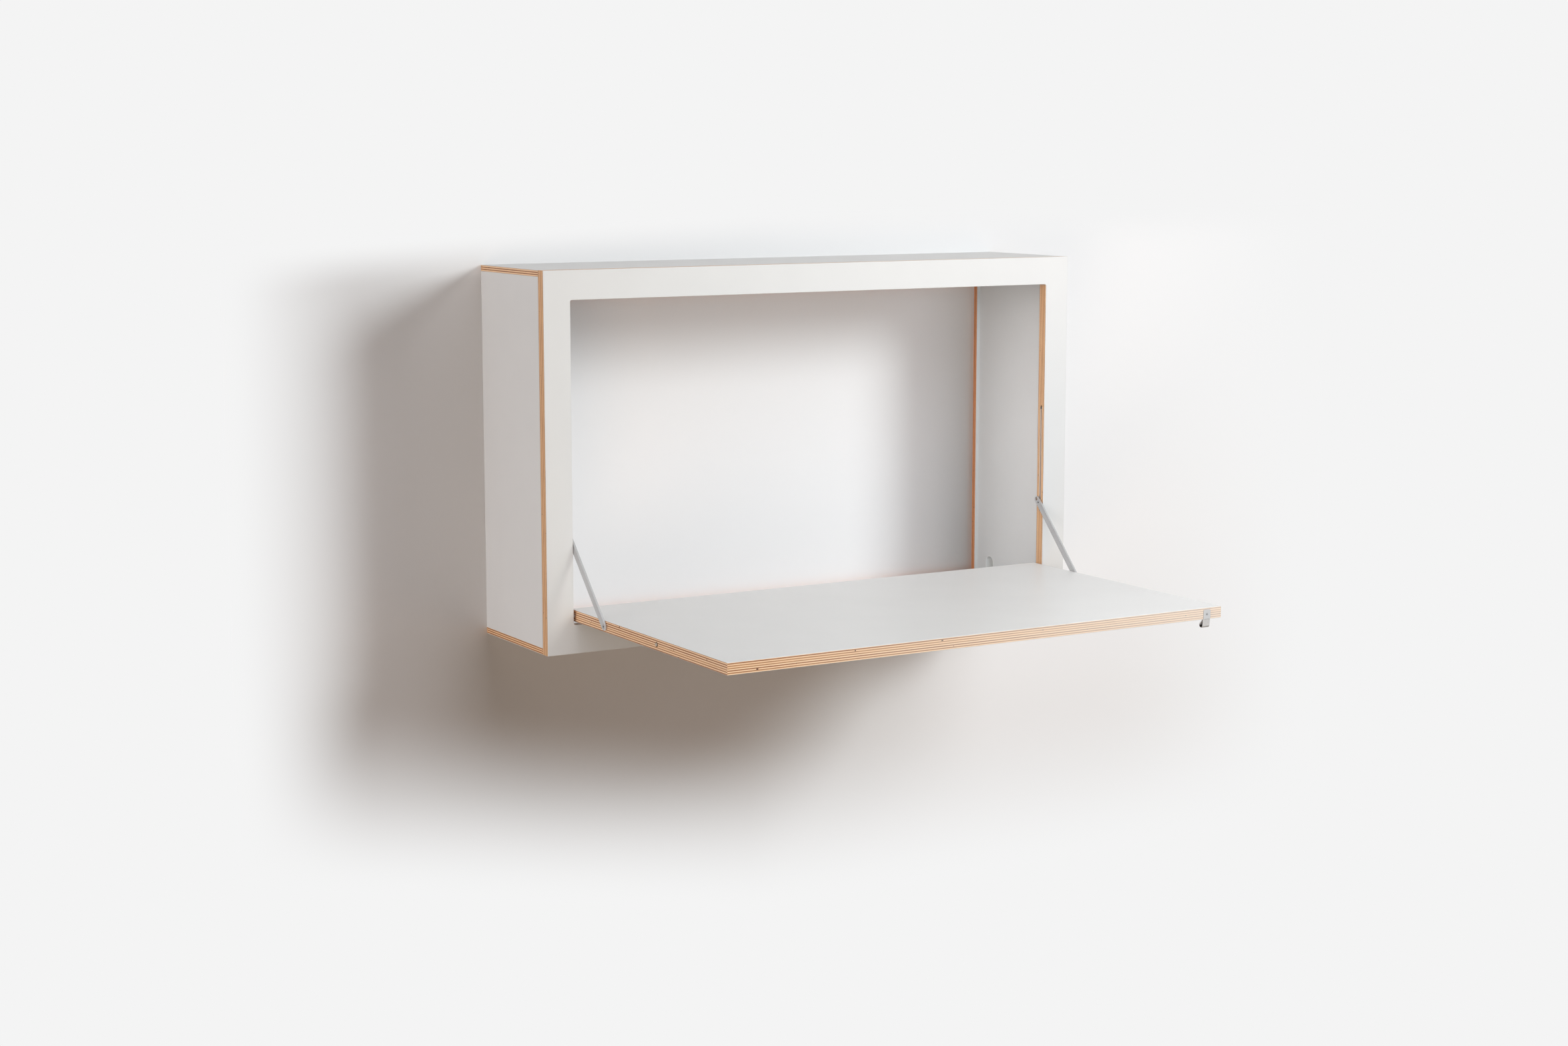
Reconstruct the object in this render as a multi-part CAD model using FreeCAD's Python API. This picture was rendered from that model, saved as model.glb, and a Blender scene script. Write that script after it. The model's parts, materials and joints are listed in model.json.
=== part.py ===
import FreeCAD, Part
import math
import os

# Fold down wall desk: a shallow plywood casing on the wall, and a flap that is cut from the front
# board and folds down to make the work surface.  Millimetres, +Z up, the wall is the plane Y = 0
# and the desk stands out of it towards -Y.  Heights are measured from the underside of the casing,
# and save() moves every piece so that the origin is the centre of the four wall fixings.

# ---- casing boards
case_width = 1000.0
case_height = 603.0
case_depth = 232.0
face_board = 18.4             # front frame and flap, one sheet of laminated plywood
shell_board = 10.4            # top, bottom and outer sides, laminated plywood
lining_board = 18.4           # inner side boards behind the stiles
stile_width = 45.6
top_rail_height = 46.4
bottom_rail_height = 45.6
opening_corner_radius = 3.0
arris = 0.3                   # sanded edge of the front frame and the flap

# ---- wall frame and its holes for the wall screws
wall_frame_board = 10.4
wall_stile_reveal = 6.2       # how far the wall frame shows past the inner side boards
wall_top_rail_height = 46.0
wall_bottom_rail_height = 15.6
fixing_spacing = 840.0
fixing_hole = 5.5

# ---- flap and its hinge
flap_side_gap = 4.2
flap_bottom_gap = 4.8
flap_top_gap = 3.0
hinge_pin_diameter = 8.0
hinge_pin_in_flap = 30.0
hinge_bush_diameter = 11.0
hinge_bush_length = 14.0

# ---- struts
strut_width = 12.0
strut_thickness = 3.0
strut_pivot_reach = 111.0     # hinge axis to the strut's lower pivot, along the flap
strut_length = 161.0          # pivot to pivot
catch_hole_offset = 8.0       # strut's upper pivot to its catch hole
strut_tip = 12.5              # strut's upper pivot to its rounded tip
shoulder_diameter = 5.0
screw_head_diameter = 8.0
screw_thread_diameter = 4.0
screw_thread_length = 11.0
hex_key = 2.5
washer_diameter = 9.0
washer_thickness = 0.5
insert_diameter = 7.0
insert_length = 13.0

# ---- guide channels and slider blocks
channel_width = 5.6
channel_depth = 9.0
channel_wall = 0.7
slider_length = 16.0
slider_depth = 6.2
slider_chamfer = 0.8
slider_thread_diameter = 2.6
slider_overrun = 0.4          # free travel left between a slider and its stop
stop_length = 3.6

# ---- catches in the flap's side edges
catch_diameter = 5.0
catch_reach = 2.4             # how far the nose stands out of the flap
catch_bevel = 1.2
catch_body_diameter = 6.0
catch_body_length = 6.0
catch_lip = 1.6
catch_sleeve_diameter = 8.0
catch_sleeve_length = 20.0
spring_wire = 0.6
spring_diameter = 4.8
spring_turns = 4
spring_flats = 8              # straight lengths in one turn
spring_sides = 5

# ---- pull tab on the flap's front edge
pull_inset = 29.0             # flap's right edge to the middle of the tab
pull_width = 14.0
pull_plate_height = 15.0
pull_plate_thickness = 1.0
pull_plate_rise = 3.0         # flap's top face to the plate's upper edge
strap_thickness = 1.0
strap_drop = 14.2             # how far the loop hangs below the flap
loop_radius = 4.2             # outside of the loop's round bottom
loop_set_back = 1.0           # the flap's front edge to the front of the loop's round bottom
pull_screw_head = 5.6
pull_screw_diameter = 3.0
pull_screw_length = 14.0
pull_key = 2.0

# ---- cable slot low in the right side
cable_slot_width = 21.0
cable_slot_top = 55.4
cable_slot_setback = 48.7     # wall to the middle of the slot
liner_wall = 1.2

# ---- joints of the casing
tenon_thickness = 6.0
tenon_width = 24.0
tenon_length = 28.0
tenon_in_board = 6.6          # how far a tenon enters the board that it stands square to
tenon_margin = 72.0           # end of a side board's edge to the middle of the nearest tenon

# ---- clearances
running_fit = 0.05            # radial, on pins and shoulders that turn
sliding_fit = 0.1             # radial or per face, on pieces that slide
catch_clearance = 0.3         # radial, catch nose in the strut's hole
open_pivot_gap = 0.3          # tip of a slider pin to the stile's inner edge
flush_setback = 0.1           # a sunk head stays this far under its face
cut_over = 1.0                # how far a cutting tool runs past a face

# ---- derived places
half_width = case_width / 2
front_y = -case_depth
frame_back_y = front_y + face_board
opening_half = half_width - stile_width
opening_low = bottom_rail_height
opening_high = case_height - top_rail_height
shell_top = case_height - shell_board
side_inner = half_width - shell_board
lining_inner = side_inner - lining_board
lining_middle = side_inner - lining_board / 2
lining_back_y = -wall_frame_board

hinge_y = front_y + face_board / 2
hinge_z = bottom_rail_height + flap_bottom_gap + face_board / 2
flap_half = opening_half - flap_side_gap
flap_reach = opening_high - flap_top_gap - hinge_z
flap_front_y = hinge_y - flap_reach
flap_top_z = hinge_z + face_board / 2
flap_under_z = hinge_z - face_board / 2

strut_gap = (flap_side_gap - strut_thickness) / 2
strut_inner = flap_half + strut_gap
strut_outer = strut_inner + strut_thickness
strut_pivot_y = hinge_y - strut_pivot_reach
slider_rise_open = math.sqrt(strut_length ** 2 - strut_pivot_reach ** 2)
slider_z_open = hinge_z + slider_rise_open
slider_z_closed = hinge_z + strut_pivot_reach + strut_length
strut_angle = math.degrees(math.atan2(slider_rise_open, strut_pivot_reach))
shoulder_hole = shoulder_diameter + 2 * running_fit
catch_station = strut_pivot_reach + strut_length + catch_hole_offset

channel_low = slider_z_open - slider_length / 2 - slider_overrun - stop_length
channel_high = slider_z_closed + slider_length / 2 + slider_overrun + stop_length
channel_inner = channel_width - 2 * channel_wall
channel_floor = opening_half + channel_depth - channel_wall

slot_y = -cable_slot_setback
slot_wood_width = cable_slot_width + 2 * liner_wall
pull_x = flap_half - pull_inset
pull_rebate = 2 * strap_thickness
loop_centre_y = flap_front_y + loop_set_back + loop_radius
loop_centre_z = flap_under_z - strap_drop + loop_radius
pull_screw_z = flap_top_z - pull_plate_rise - pull_plate_height / 2

wall_open_half = lining_inner - wall_stile_reveal
wall_open_low = shell_board + wall_bottom_rail_height
wall_open_high = shell_top - wall_top_rail_height
fixing_low = shell_board + wall_bottom_rail_height / 2
fixing_high = shell_top - wall_top_rail_height / 2
origin_height = (fixing_low + fixing_high) / 2

X_AXIS = FreeCAD.Vector(1, 0, 0)
Y_AXIS = FreeCAD.Vector(0, 1, 0)
Z_AXIS = FreeCAD.Vector(0, 0, 1)


def point(x, y, z):
    return FreeCAD.Vector(x, y, z)


def block(x0, x1, y0, y1, z0, z1):
    """Rectangular solid between two opposite corners."""
    return Part.makeBox(x1 - x0, y1 - y0, z1 - z0, point(x0, y0, z0))


def rod(diameter, length, start, axis):
    """Round bar from a start point along an axis."""
    return Part.makeCylinder(diameter / 2, length, start, axis)


def taper(diameter_start, diameter_end, length, start, axis):
    """Cone frustum from a start point along an axis."""
    return Part.makeCone(diameter_start / 2, diameter_end / 2, length, start, axis)


def mirrored(shape):
    """The same piece for the other side of the desk."""
    return shape.mirror(point(0, 0, 0), X_AXIS)


def polygon(points):
    """Flat face through a list of points."""
    return Part.Face(Part.makePolygon(points + [points[0]]))


def round_edges_along(shape, axis, radius):
    """Rounds the straight edges of a block that run along an axis."""
    edges = [e for e in shape.Edges if abs(e.tangentAt(e.FirstParameter).dot(axis)) > 0.99]
    return shape.makeFillet(radius, edges)


def ease_outline(board, low_y, high_y):
    """Sands the edges round the front and back faces of a board that stands in the XZ plane."""
    edges = []
    for y in (low_y, high_y):
        edges += [e for e in board.Edges if all(abs(v.Y - y) < 1e-6 for v in e.Vertexes)]
    return board.makeChamfer(arris, edges)


def ring_points(centre, axis, radius, sides):
    """Corners of a closed regular polygon round an axis that isn't upright."""
    across = axis.cross(Z_AXIS).normalize()
    upright = across.cross(axis).normalize()
    corners = []
    for step in range(sides + 1):
        turn = 2 * math.pi * step / sides
        corners.append(centre + upright * (radius * math.cos(turn)) + across * (radius * math.sin(turn)))
    return corners


def hex_socket(start, axis, key):
    """Cutter for a hexagon key socket, with its flat sides a key's width apart."""
    outline = Part.makePolygon(ring_points(start, axis, key / math.sqrt(3), 6))
    return Part.Face(outline).extrude(axis * (key / 2))


def sunk_screw(start, axis, head, shank, length):
    """Countersunk screw with its flat head at start and a plain shank."""
    sink = (head - shank) / 2
    return taper(head, shank, sink, start, axis).fuse(rod(shank, length - sink, start + axis * sink, axis))


def both_sides(shape):
    """A piece and its mirror image as one group of separate solids."""
    return Part.makeCompound([shape, mirrored(shape)])


# ---- places of the hidden joints
tenon_heights = (shell_board + tenon_margin, shell_top - tenon_margin)
tenon_depths = (frame_back_y + tenon_margin, lining_back_y - tenon_margin)


def side_tenon(y0, y1, z0, z1):
    """Loose tenon in the middle of the right inner side board's thickness."""
    half = tenon_thickness / 2
    return block(lining_middle - half, lining_middle + half, y0, y1, z0, z1)


def corner_tenons():
    """Loose tenons that stand in the ends of the right inner side board, below and above."""
    half = tenon_width / 2
    low = shell_board - tenon_in_board
    high = shell_top + tenon_in_board
    tenons = []
    for y in tenon_depths:
        tenons.append(side_tenon(y - half, y + half, low, low + tenon_length))
        tenons.append(side_tenon(y - half, y + half, high - tenon_length, high))
    return Part.makeCompound(tenons)


def face_tenons():
    """Loose tenons between the right stile and the front edge of the right inner side board."""
    half = tenon_width / 2
    start = frame_back_y - tenon_in_board
    tenons = [side_tenon(start, start + tenon_length, z - half, z + half) for z in tenon_heights]
    return Part.makeCompound(tenons)


def back_tenons():
    """Loose tenons between the wall frame and the back edge of the right inner side board."""
    half = tenon_width / 2
    end = lining_back_y + tenon_in_board
    tenons = [side_tenon(end - tenon_length, end, z - half, z + half) for z in tenon_heights]
    return Part.makeCompound(tenons)


def guide_groove():
    """Cutter for the round-ended groove in the right stile's inner edge."""
    radius = channel_width / 2
    x0 = opening_half - cut_over
    x1 = opening_half + channel_depth
    middle = block(x0, x1, hinge_y - radius, hinge_y + radius, channel_low, channel_high)
    ends = [rod(channel_width, x1 - x0, point(x0, hinge_y, z), X_AXIS) for z in (channel_low, channel_high)]
    return middle.multiFuse(ends).removeSplitter()


def make_front_frame():
    opening = block(-opening_half, opening_half, front_y - cut_over, frame_back_y + cut_over,
                    opening_low, opening_high)
    opening = round_edges_along(opening, Y_AXIS, opening_corner_radius)
    frame = block(-half_width, half_width, front_y, frame_back_y, 0, case_height).cut(opening)
    frame = ease_outline(frame, front_y, frame_back_y)
    bush_start = point(opening_half - cut_over, hinge_y, hinge_z)
    bore = rod(hinge_bush_diameter, hinge_bush_length + cut_over, bush_start, X_AXIS)
    for cutter in (guide_groove(), bore, face_tenons()):
        frame = frame.cut(cutter).cut(mirrored(cutter))
    return frame


def make_shell_board(z0, z1):
    """Top or bottom board, which runs over the side boards."""
    board = block(-half_width, half_width, frame_back_y, 0, z0, z1)
    tenons = corner_tenons()
    return board.cut(tenons).cut(mirrored(tenons))


def cable_slot(width, top):
    """Round-topped slot through the right side, standing on the bottom board."""
    radius = width / 2
    x0 = lining_inner
    x1 = half_width
    post = block(x0, x1, slot_y - radius, slot_y + radius, shell_board, top - radius)
    arch = rod(width, x1 - x0, point(x0, slot_y, top - radius), X_AXIS)
    return post.fuse(arch).removeSplitter()


def make_side_panel():
    return block(side_inner, half_width, frame_back_y, 0, shell_board, shell_top)


def make_side_lining():
    board = block(lining_inner, side_inner, frame_back_y, lining_back_y, shell_board, shell_top)
    for tenons in (corner_tenons(), face_tenons(), back_tenons()):
        board = board.cut(tenons)
    return board


def make_cable_liner():
    outer = cable_slot(slot_wood_width, cable_slot_top + liner_wall)
    inner = cable_slot(cable_slot_width, cable_slot_top)
    return outer.cut(inner)


def make_wall_frame():
    frame = block(-side_inner, side_inner, lining_back_y, 0, shell_board, shell_top)
    frame = frame.cut(block(-wall_open_half, wall_open_half, lining_back_y - cut_over, cut_over,
                            wall_open_low, wall_open_high))
    for x in (-fixing_spacing / 2, fixing_spacing / 2):
        for z in (fixing_low, fixing_high):
            frame = frame.cut(rod(fixing_hole, wall_frame_board, point(x, lining_back_y, z), Y_AXIS))
    tenons = back_tenons()
    return frame.cut(tenons).cut(mirrored(tenons))


def make_guide_channel():
    """Channel section with its open side flush with the stile's inner edge."""
    half = channel_width / 2
    x1 = opening_half + channel_depth
    channel = block(opening_half, x1, hinge_y - half, hinge_y + half, channel_low, channel_high)
    trough = channel_inner / 2
    return channel.cut(block(opening_half - cut_over, channel_floor, hinge_y - trough,
                             hinge_y + trough, channel_low - cut_over, channel_high + cut_over))


def make_guide_stops():
    """Rubber blocks that close the ends of the right guide channel."""
    half = channel_inner / 2
    stops = []
    for z0 in (channel_low, channel_high - stop_length):
        stop = block(opening_half, channel_floor, hinge_y - half, hinge_y + half, z0, z0 + stop_length)
        stops.append(stop)
    return Part.makeCompound(stops)


def make_hinge_bush():
    start = point(opening_half, hinge_y, hinge_z)
    bore = hinge_pin_diameter + 2 * running_fit
    bush = rod(hinge_bush_diameter, hinge_bush_length, start, X_AXIS)
    return bush.cut(rod(bore, hinge_bush_length, start, X_AXIS))


def make_hinge_pin():
    start_x = flap_half - hinge_pin_in_flap
    end_x = opening_half + hinge_bush_length - flush_setback
    return rod(hinge_pin_diameter, end_x - start_x, point(start_x, hinge_y, hinge_z), X_AXIS)


def edge_bore(diameter, depth, station):
    """Cutter for a round hole in the flap's right edge, a station's distance from the hinge axis."""
    start = point(flap_half - depth, hinge_y - station, hinge_z)
    return rod(diameter, depth + cut_over, start, X_AXIS)


def pull_rebate_cutter():
    half = pull_width / 2
    top = flap_top_z - pull_plate_rise - strap_thickness
    return block(pull_x - half, pull_x + half, flap_front_y - cut_over, flap_front_y + pull_rebate,
                 flap_under_z - cut_over, top)


def pull_screw_blank():
    """The pull tab's screw before its socket is made, which is also the hole that it fills."""
    start = point(pull_x, flap_front_y - pull_plate_thickness, pull_screw_z)
    return sunk_screw(start, Y_AXIS, pull_screw_head, pull_screw_diameter, pull_screw_length)


def make_pull_screw():
    start = point(pull_x, flap_front_y - pull_plate_thickness, pull_screw_z)
    return pull_screw_blank().cut(hex_socket(start, Y_AXIS, pull_key))


def make_flap():
    back_y = hinge_y + face_board / 2
    flap = block(-flap_half, flap_half, flap_front_y, back_y, flap_under_z, flap_top_z)
    outline = [e for e in flap.Edges if abs(e.Vertexes[0].Z - e.Vertexes[-1].Z) < 1e-6]
    flap = flap.makeChamfer(arris, outline)
    bores = [
        edge_bore(hinge_pin_diameter, hinge_pin_in_flap, 0),
        edge_bore(insert_diameter, insert_length, strut_pivot_reach),
        edge_bore(catch_sleeve_diameter, catch_sleeve_length, catch_station),
    ]
    for bore in bores:
        flap = flap.cut(bore).cut(mirrored(bore))
    return flap.cut(pull_rebate_cutter()).cut(pull_screw_blank())


def make_strut_insert():
    """Brass sleeve in the flap's edge that takes the strut's pivot screw."""
    start = point(flap_half - insert_length, strut_pivot_y, hinge_z)
    insert = rod(insert_diameter, insert_length, start, X_AXIS)
    return insert.cut(rod(screw_thread_diameter, insert_length, start, X_AXIS))


def make_strut_washer():
    start = point(flap_half, strut_pivot_y, hinge_z)
    washer = rod(washer_diameter, washer_thickness, start, X_AXIS)
    return washer.cut(rod(shoulder_diameter, washer_thickness, start, X_AXIS))


def head_depth():
    return (screw_head_diameter - shoulder_diameter) / 2


def make_strut_screw():
    """Shoulder screw: the strut turns on its shoulder, and its thread sits in the insert."""
    face = strut_outer - flush_setback
    seat = point(flap_half, strut_pivot_y, hinge_z)
    screw = rod(shoulder_diameter, face - flap_half - head_depth(), seat, X_AXIS)
    head_start = point(face - head_depth(), strut_pivot_y, hinge_z)
    screw = screw.fuse(taper(shoulder_diameter, screw_head_diameter, head_depth(), head_start, X_AXIS))
    thread_start = point(flap_half - screw_thread_length, strut_pivot_y, hinge_z)
    screw = screw.fuse(rod(screw_thread_diameter, screw_thread_length, thread_start, X_AXIS))
    return screw.cut(hex_socket(point(face, strut_pivot_y, hinge_z), -X_AXIS, hex_key))


def make_slider_pin():
    """Pivot screw of the strut's upper end.  Its tip stops short of the stile, see the slider."""
    face = strut_inner + flush_setback
    tip = opening_half - open_pivot_gap
    start = point(face, hinge_y, slider_z_open)
    pin = rod(shoulder_diameter, tip - face, start, X_AXIS)
    pin = pin.fuse(taper(screw_head_diameter, shoulder_diameter, head_depth(), start, X_AXIS))
    return pin.cut(hex_socket(start, X_AXIS, hex_key))


def make_strut_bar():
    """Flat bar with round ends, drawn along +Y from its lower pivot and then raised to its angle."""
    half = strut_width / 2
    tip_centre = strut_length + strut_tip - half
    x0 = strut_inner
    bar = block(x0, strut_outer, 0, tip_centre, -half, half)
    for y in (0, tip_centre):
        bar = bar.fuse(rod(strut_width, strut_thickness, point(x0, y, 0), X_AXIS))
    bar = bar.removeSplitter()
    sink = head_depth() + running_fit
    wide = shoulder_hole + 2 * sink
    lower = rod(shoulder_hole, strut_thickness, point(x0, 0, 0), X_AXIS)
    lower = lower.fuse(taper(shoulder_hole, wide, sink, point(strut_outer - sink, 0, 0), X_AXIS))
    upper = rod(shoulder_hole, strut_thickness, point(x0, strut_length, 0), X_AXIS)
    upper = upper.fuse(taper(wide, shoulder_hole, sink, point(x0, strut_length, 0), X_AXIS))
    catch_hole = rod(catch_diameter + 2 * catch_clearance, strut_thickness,
                     point(x0, strut_length + catch_hole_offset, 0), X_AXIS)
    bar = bar.cut(lower).cut(upper).cut(catch_hole)
    bar.rotate(point(0, 0, 0), X_AXIS, strut_angle)
    bar.translate(point(0, strut_pivot_y, hinge_z))
    return bar


def make_slider_block():
    """Plastic block that runs in the channel and carries the strut's upper pivot."""
    half = channel_inner / 2 - sliding_fit
    x0 = opening_half + sliding_fit
    half_length = slider_length / 2
    slider = block(x0, x0 + slider_depth, hinge_y - half, hinge_y + half,
                   slider_z_open - half_length, slider_z_open + half_length)
    edges = [e for e in slider.Edges if abs(e.tangentAt(e.FirstParameter).dot(Y_AXIS)) > 0.99]
    slider = slider.makeChamfer(slider_chamfer, edges)
    return slider.cut(rod(slider_thread_diameter, slider_depth, point(x0, hinge_y, slider_z_open), X_AXIS))


def lathe(profile, station):
    """Turned part in the flap's right edge; profile points are (distance into the edge, radius)."""
    face = polygon([point(flap_half - inset, radius, 0) for inset, radius in profile])
    turned = face.revolve(point(0, 0, 0), X_AXIS, 360)
    turned.translate(point(0, hinge_y - station, hinge_z))
    return turned


def make_catch_sleeve():
    outer = catch_sleeve_diameter / 2
    lip = catch_diameter / 2 + sliding_fit
    bore = catch_body_diameter / 2
    floor = catch_sleeve_length - catch_lip
    profile = [(0, lip), (0, outer), (catch_sleeve_length, outer), (catch_sleeve_length, 0),
               (floor, 0), (floor, bore), (catch_lip, bore), (catch_lip, lip)]
    return lathe(profile, catch_station)


def make_catch_plunger():
    """Plunger with a bevelled nose, held in its sleeve by a collar."""
    nose = catch_diameter / 2
    collar = catch_body_diameter / 2 - sliding_fit
    collar_start = catch_lip + running_fit
    collar_end = collar_start + catch_body_length
    profile = [(collar_end, 0), (collar_end, collar), (collar_start, collar), (collar_start, nose),
               (catch_bevel - catch_reach, nose), (-catch_reach, nose - catch_bevel), (-catch_reach, 0)]
    return lathe(profile, catch_station)


def make_catch_spring():
    """Coil spring between the plunger and the floor of its sleeve, its coil drawn in short flats."""
    start = catch_lip + running_fit + catch_body_length + spring_wire / 2
    end = catch_sleeve_length - catch_lip - spring_wire / 2
    radius = (spring_diameter - spring_wire) / 2
    coil = []
    for step in range(spring_turns * spring_flats + 1):
        along = start + (end - start) * step / (spring_turns * spring_flats)
        turn = math.radians(360.0 * step / spring_flats)
        coil.append(point(flap_half - along, radius * math.cos(turn), radius * math.sin(turn)))
    heading = coil[1] - coil[0]
    section = Part.makePolygon(ring_points(coil[0], heading, spring_wire / 2, spring_sides))
    spring = Part.makePolygon(coil).makePipeShell([section], True, True, 1)
    spring.translate(point(0, hinge_y - catch_station, hinge_z))
    return spring


def make_pull_plate():
    half = pull_width / 2
    top = flap_top_z - pull_plate_rise
    plate = block(pull_x - half, pull_x + half, flap_front_y - pull_plate_thickness, flap_front_y,
                  top - pull_plate_height, top)
    plate = round_edges_along(plate, Y_AXIS, 2 * pull_plate_thickness)
    return plate.cut(pull_screw_blank())


def leg_foot(neck_y, neck_z, radius, side):
    """Where a straight leg from the neck meets the loop's round bottom: side 1 rear, -1 front."""
    across = neck_y - loop_centre_y
    up = neck_z - loop_centre_z
    turn = math.atan2(up, across) - side * math.acos(radius / math.hypot(across, up))
    return point(0, loop_centre_y + radius * math.cos(turn), loop_centre_z + radius * math.sin(turn))


def loop_outline(front_y, rear_y, neck_z, radius):
    """Side view of the loop: two straight legs from the neck that run into a round bottom.  All
    outlines share the centre of that bottom."""
    front = leg_foot(front_y, neck_z, radius, -1)
    rear = leg_foot(rear_y, neck_z, radius, 1)
    low = point(0, loop_centre_y, loop_centre_z - radius)
    neck = [point(0, rear_y, neck_z)]
    if rear_y > front_y:
        neck.append(point(0, front_y, neck_z))
    corners = [rear] + neck + [front]
    edges = [Part.LineSegment(a, b).toShape() for a, b in zip(corners, corners[1:])]
    return Part.Face(Part.Wire([Part.Arc(front, low, rear).toShape()] + edges))


def make_pull_strap():
    """Leather band folded to a loop, its two ends clamped one on the other under the plate."""
    rear_y = flap_front_y + pull_rebate
    top_z = flap_top_z - pull_plate_rise - strap_thickness
    half = pull_width / 2
    outer = loop_outline(flap_front_y, rear_y, flap_under_z, loop_radius)
    eye_y = flap_front_y + strap_thickness
    eye_z = flap_under_z - pull_rebate
    inner = loop_outline(eye_y, eye_y, eye_z, loop_radius - strap_thickness)
    loop = outer.cut(inner).extrude(X_AXIS * pull_width)
    loop.translate(X_AXIS * (pull_x - half))
    ends = block(pull_x - half, pull_x + half, flap_front_y, rear_y, flap_under_z, top_z)
    return loop.fuse(ends).removeSplitter().cut(pull_screw_blank())


def save(name, shape):
    """Moves a piece to the part's own frame and writes its STEP file."""
    placed = shape.copy()
    placed.translate(point(0, 0, -origin_height))
    placed.exportStep(os.path.join("parts", name + ".step"))


def save_pair(name, shape):
    """Writes a right-hand piece and its mirror image for the left."""
    save("right_" + name, shape)
    save("left_" + name, mirrored(shape))


os.makedirs("parts", exist_ok=True)

slot = cable_slot(slot_wood_width, cable_slot_top + liner_wall)
save("front_frame", make_front_frame())
save("top_panel", make_shell_board(shell_top, case_height))
save("bottom_panel", make_shell_board(0, shell_board))
save("right_side_panel", make_side_panel().cut(slot))
save("left_side_panel", mirrored(make_side_panel()))
save("right_side_lining", make_side_lining().cut(slot))
save("left_side_lining", mirrored(make_side_lining()))
save("wall_frame", make_wall_frame())
save("cable_slot_liner", make_cable_liner())
save("casing_tenons", both_sides(corner_tenons()))
save("front_frame_tenons", both_sides(face_tenons()))
save("wall_frame_tenons", both_sides(back_tenons()))
save_pair("guide_channel", make_guide_channel())
save("guide_stops", both_sides(make_guide_stops()))
save("hinge_bushes", both_sides(make_hinge_bush()))

save("flap", make_flap())
save("hinge_pins", both_sides(make_hinge_pin()))
save("strut_inserts", both_sides(make_strut_insert()))
save("strut_washers", both_sides(make_strut_washer()))
save("strut_screws", both_sides(make_strut_screw()))
save("catch_sleeves", both_sides(make_catch_sleeve()))
save_pair("catch_spring", make_catch_spring())
save("pull_plate", make_pull_plate())
save("pull_strap", make_pull_strap())
save("pull_screw", make_pull_screw())

save_pair("strut_bar", make_strut_bar())
save_pair("slider_pin", make_slider_pin())
save_pair("slider_block", make_slider_block())
save_pair("catch_plunger", make_catch_plunger())
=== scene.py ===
# Fold down wall desk: a shallow casing of laminated plywood on the wall, and a flap that is cut from
# its front board and folds down on two sliding struts.  Metres, +Z up, and the wall is Y = 0.
import json
import math

import bmesh
import bpy
from mathutils import Matrix, Vector


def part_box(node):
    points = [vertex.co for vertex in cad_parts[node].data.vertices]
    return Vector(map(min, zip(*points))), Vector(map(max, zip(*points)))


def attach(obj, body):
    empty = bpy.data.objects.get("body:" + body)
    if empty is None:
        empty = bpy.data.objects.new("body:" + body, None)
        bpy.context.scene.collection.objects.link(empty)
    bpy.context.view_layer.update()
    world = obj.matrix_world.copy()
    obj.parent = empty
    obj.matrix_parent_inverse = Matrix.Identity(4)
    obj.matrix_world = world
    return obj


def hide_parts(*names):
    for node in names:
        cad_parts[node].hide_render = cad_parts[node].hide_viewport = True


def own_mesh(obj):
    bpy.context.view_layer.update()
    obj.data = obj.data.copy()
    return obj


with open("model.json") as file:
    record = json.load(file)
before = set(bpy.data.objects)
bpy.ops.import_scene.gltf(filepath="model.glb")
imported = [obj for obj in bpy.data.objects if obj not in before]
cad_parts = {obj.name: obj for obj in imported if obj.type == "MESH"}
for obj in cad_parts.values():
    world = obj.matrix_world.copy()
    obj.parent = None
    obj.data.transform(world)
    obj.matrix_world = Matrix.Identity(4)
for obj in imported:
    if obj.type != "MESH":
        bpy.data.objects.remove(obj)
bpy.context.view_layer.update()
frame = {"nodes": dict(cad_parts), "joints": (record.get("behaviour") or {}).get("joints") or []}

# ---- Front frame and flap
# One sheet of eleven-ply birch with white laminate on both faces, cut into a frame and a flap.
# The cut edges are sanded and left bare, so the plies show there as bands of long and end grain.

X, Y, Z = (1, 0, 0), (0, 1, 0), (0, 0, 1)


def feed(tree, node, inputs):
    """Gives a node its inputs, each a number or a socket to link from."""
    for name, value in inputs.items():
        if isinstance(value, bpy.types.NodeSocket):
            tree.links.new(value, node.inputs[name])
        else:
            node.inputs[name].default_value = value


def add(tree, kind, inputs=None, **settings):
    """New shader node with its settings and its inputs."""
    made = tree.nodes.new("ShaderNode" + kind)
    for name, value in settings.items():
        setattr(made, name, value)
    feed(tree, made, inputs or {})
    return made


def calc(tree, operation, *values):
    """Result of one sum on numbers or sockets."""
    return add(tree, "Math", dict(enumerate(values)), operation=operation).outputs[0]


def calc_vector(tree, operation, *values, result="Vector"):
    """Result of one sum on directions or places."""
    return add(tree, "VectorMath", dict(enumerate(values)), operation=operation).outputs[result]


def dot(tree, first, second):
    """How far one place or direction reaches along another."""
    return calc_vector(tree, "DOT_PRODUCT", first, second, result="Value")


def scaled(tree, vector, amount):
    """A colour, place or direction times a number."""
    return add(tree, "VectorMath", {0: vector, "Scale": amount}, operation="SCALE").outputs[0]


def drawn_out(tree, place, axis, share):
    """Place with a share of its run along an axis taken out, so that a noise on it turns to fibres."""
    pull = calc(tree, "MULTIPLY", dot(tree, place, axis), share)
    return calc_vector(tree, "SUBTRACT", place, scaled(tree, axis, pull))


def noise(tree, place, scale, detail, roughness=0.5):
    """Soft noise about 0.5, with the given number of waves in a millimetre."""
    inputs = {"Vector": place, "Scale": scale, "Detail": detail, "Roughness": roughness}
    return add(tree, "TexNoise", inputs).outputs[0]


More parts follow.
